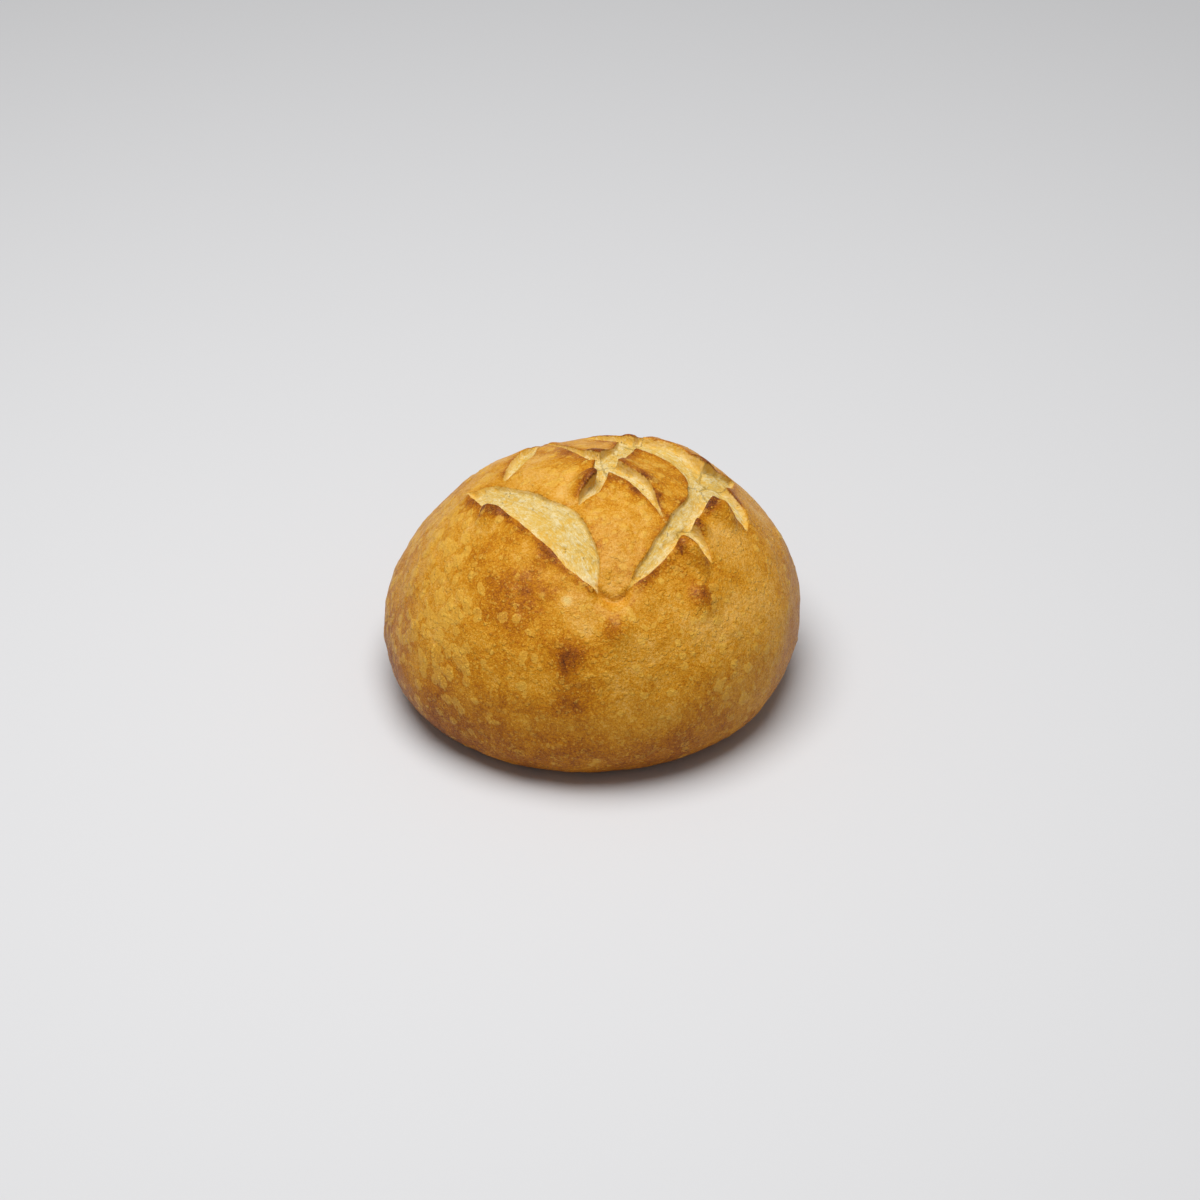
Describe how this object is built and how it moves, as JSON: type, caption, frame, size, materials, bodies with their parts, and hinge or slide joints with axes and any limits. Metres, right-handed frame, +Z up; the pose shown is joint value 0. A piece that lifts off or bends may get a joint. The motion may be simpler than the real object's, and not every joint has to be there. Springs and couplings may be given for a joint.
{
  "type": "round bread loaf",
  "caption": "Round crusty sourdough loaf with a flat base and a domed top, opened by branching slashes with raised, browned crust rims and pale crumb between them.",
  "frame": {"origin": "on the ground plane under the middle of the loaf's flat base", "axes": "+Z up through the loaf; -Y towards the side where the long slashes come together; +X to the right seen from that side"},
  "size_m": [0.1616, 0.159, 0.0967],
  "materials": {
    "crust": "baked golden crust with pale crumb in the slashes"
  },
  "bodies": {
    "root": {"loaf": "crust"}
  },
  "joints": []
}
